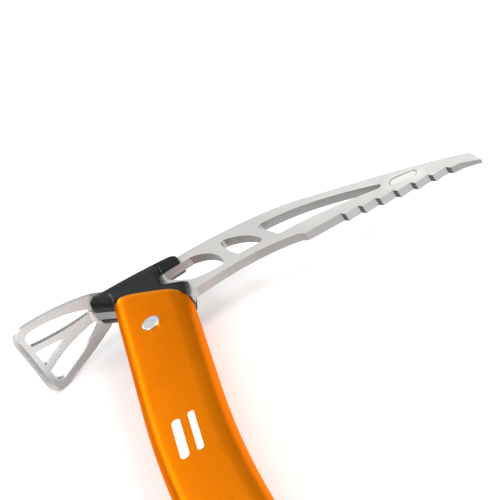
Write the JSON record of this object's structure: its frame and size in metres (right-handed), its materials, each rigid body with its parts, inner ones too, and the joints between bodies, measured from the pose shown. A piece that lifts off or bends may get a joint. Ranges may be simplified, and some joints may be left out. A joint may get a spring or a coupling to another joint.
{
  "type": "ice axe",
  "caption": "Compact curved ice axe: slotted steel pick plate with hooked teeth, fan-shaped adze, moulded head covers and a flattened aluminium shaft with a slanted toe.",
  "frame": {"origin": "centre of the lanyard hole, on the axis of the shaft's straight lower part and midway through its depth", "axes": "+Y up the straight lower part of the shaft towards the head, +X square to it towards the pick, +Z across the pick plate; the axe lies on its left side with the plate level"},
  "size_m": [0.1794, 0.4515, 0.0344],
  "materials": {
    "shaft_anodised": "satin orange anodising over a fine blasted surface",
    "head_steel": "fine blasted steel",
    "adze_steel": "fine blasted steel sheet",
    "weld_steel": "dressed weld bead",
    "cover_plastic": "satin moulded black plastic",
    "rivet_metal": "bright, slightly domed",
    "eyelet_metal": "bright rolled flange",
    "plug_plastic": "matt moulded black plastic"
  },
  "bodies": {
    "root": {"shaft_tube": "shaft_anodised", "head_plate": "head_steel", "adze_blade": "adze_steel", "adze_weld": "weld_steel", "right_head_cover": "cover_plastic", "left_head_cover": "cover_plastic", "head_rivet": "rivet_metal", "lanyard_eyelet": "eyelet_metal", "shaft_end_plug": "plug_plastic"}
  },
  "joints": []
}
